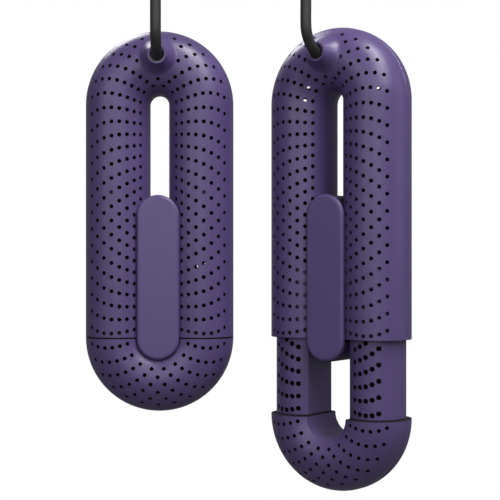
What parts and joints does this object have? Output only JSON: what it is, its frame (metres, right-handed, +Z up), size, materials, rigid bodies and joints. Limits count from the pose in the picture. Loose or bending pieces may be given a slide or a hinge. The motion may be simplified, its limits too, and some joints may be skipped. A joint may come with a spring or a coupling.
{
  "type": "boot dryer",
  "caption": "Telescoping boot dryers: perforated loop heaters whose lower halves draw out inside a boot, hanging on leads from a shared mains plug.",
  "frame": {"origin": "middle of the plug's face, between its two pins", "axes": "+Z up along the pins and the hanging dryers, fronts of the dryers towards -Y"},
  "size_m": [0.1523, 0.0618, 0.415],
  "materials": {
    "shell": "satin moulded violet",
    "bar_cover": "satin moulded violet",
    "bar_frame": "moulded violet",
    "grommet": "matt black",
    "clamp": "natural nylon",
    "board": "green laminate",
    "fuse": "bright",
    "board_parts": "gloss black",
    "fins": "mill",
    "stone": "fired ceramic",
    "heater_ring": "silicone",
    "wire": "silicone sleeve",
    "bush": "matt black",
    "pad": "felt",
    "screw": "zinc plated",
    "lead": "matt black sheath",
    "tie": "woven strap",
    "plug": "matt black",
    "relief": "matt black",
    "pin": "nickel plated"
  },
  "bodies": {
    "root": {"left_upper_front_shell": "shell", "right_upper_front_shell": "shell", "left_upper_rear_shell": "shell", "right_upper_rear_shell": "shell", "left_bar_front_cover": "bar_cover", "right_bar_front_cover": "bar_cover", "left_bar_rear_cover": "bar_cover", "right_bar_rear_cover": "bar_cover", "left_bar_frame": "bar_frame", "right_bar_frame": "bar_frame", "left_lead_grommet": "grommet", "right_lead_grommet": "grommet", "left_lead_clamp": "clamp", "right_lead_clamp": "clamp", "left_control_board": "board", "right_control_board": "board", "left_thermal_fuse": "fuse", "right_thermal_fuse": "fuse", "left_board_parts": "board_parts", "right_board_parts": "board_parts", "left_heater_fins": "fins", "right_heater_fins": "fins", "left_heating_stones": "stone", "right_heating_stones": "stone", "left_air_guides": "bush", "right_air_guides": "bush", "left_heater_rings": "heater_ring", "right_heater_rings": "heater_ring", "left_heater_wires": "wire", "right_heater_wires": "wire", "left_sleeve_bushes": "bush", "right_sleeve_bushes": "bush", "left_shell_screws": "screw", "right_shell_screws": "screw", "left_lead": "lead", "right_lead": "lead", "left_coil": "lead", "right_coil": "lead", "left_lead_end": "lead", "right_lead_end": "lead", "coil_ties": "tie", "plug_body": "plug", "plug_reliefs": "relief", "plug_pins": "pin"},
    "left_slider": {"left_slider_front_shell": "shell", "left_slider_rear_shell": "shell", "left_slider_sleeves": "shell", "left_slide_pads": "pad", "left_slider_screws": "screw"},
    "right_slider": {"right_slider_front_shell": "shell", "right_slider_rear_shell": "shell", "right_slider_sleeves": "shell", "right_slide_pads": "pad", "right_slider_screws": "screw"}
  },
  "joints": [
    {"name": "left_extend", "type": "slide", "parent": "root", "child": "left_slider", "axis": [0, 0, -1], "range_m": [0, 0.036]},
    {"name": "right_extend", "type": "slide", "parent": "root", "child": "right_slider", "axis": [0, 0, -1], "range_m": [-0.036, 0]}
  ]
}
